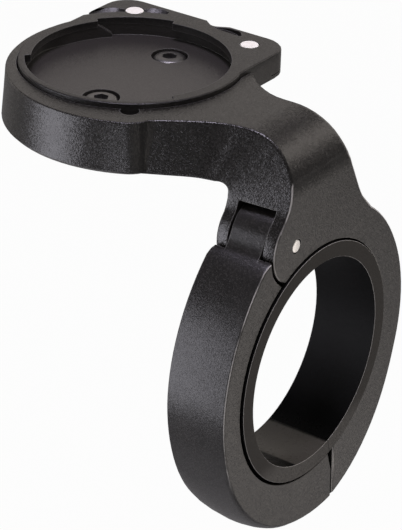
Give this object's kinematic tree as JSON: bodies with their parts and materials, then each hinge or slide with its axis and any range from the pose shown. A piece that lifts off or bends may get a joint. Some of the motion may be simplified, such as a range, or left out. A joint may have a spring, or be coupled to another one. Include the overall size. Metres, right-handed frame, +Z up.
{
  "type": "bike computer mount",
  "caption": "Hinged round handlebar clamp with a side arm that carries a shallow round bayonet cradle level with the bar, for a bike computer.",
  "frame": {"origin": "on the handlebar's axis, at the middle of the clamp's width", "axes": "+Y along the handlebar, away from the cradle; +Z up, square to the cradle's top face; +X forward, towards the hinge and the jaw"},
  "size_m": [0.0466, 0.053, 0.0657],
  "materials": {
    "black_plastic": "satin, finely grained",
    "sleeve_plastic": "matt",
    "steel": "bright",
    "black_steel": "blackened",
    "brass": "plain",
    "cream_contact": "smooth"
  },
  "bodies": {
    "mount": {"mount_body": "black_plastic", "hinge_pin": "steel", "bar_sleeve": "sleeve_plastic", "clamp_nut": "steel", "cradle": "black_plastic", "contact_stud_left": "cream_contact", "contact_stud_right": "cream_contact", "cradle_screw_front": "black_steel", "cradle_screw_rear": "black_steel", "threaded_insert_front": "brass", "threaded_insert_rear": "brass"},
    "jaw": {"lower_jaw": "black_plastic", "clamp_washer": "steel"},
    "screw": {"clamp_screw": "black_steel"}
  },
  "joints": [
    {"name": "jaw_hinge", "type": "hinge", "parent": "mount", "child": "jaw", "pos_m": [0.00628, 0, 0.0212], "axis": [0, -1, 0], "range_deg": [0, 50]},
    {"name": "clamp_screw_turn", "type": "hinge", "parent": "jaw", "child": "screw", "pos_m": [-0.00964, 0, -0.02067], "axis": [0.9347, 0, -0.3554], "continuous": true}
  ]
}
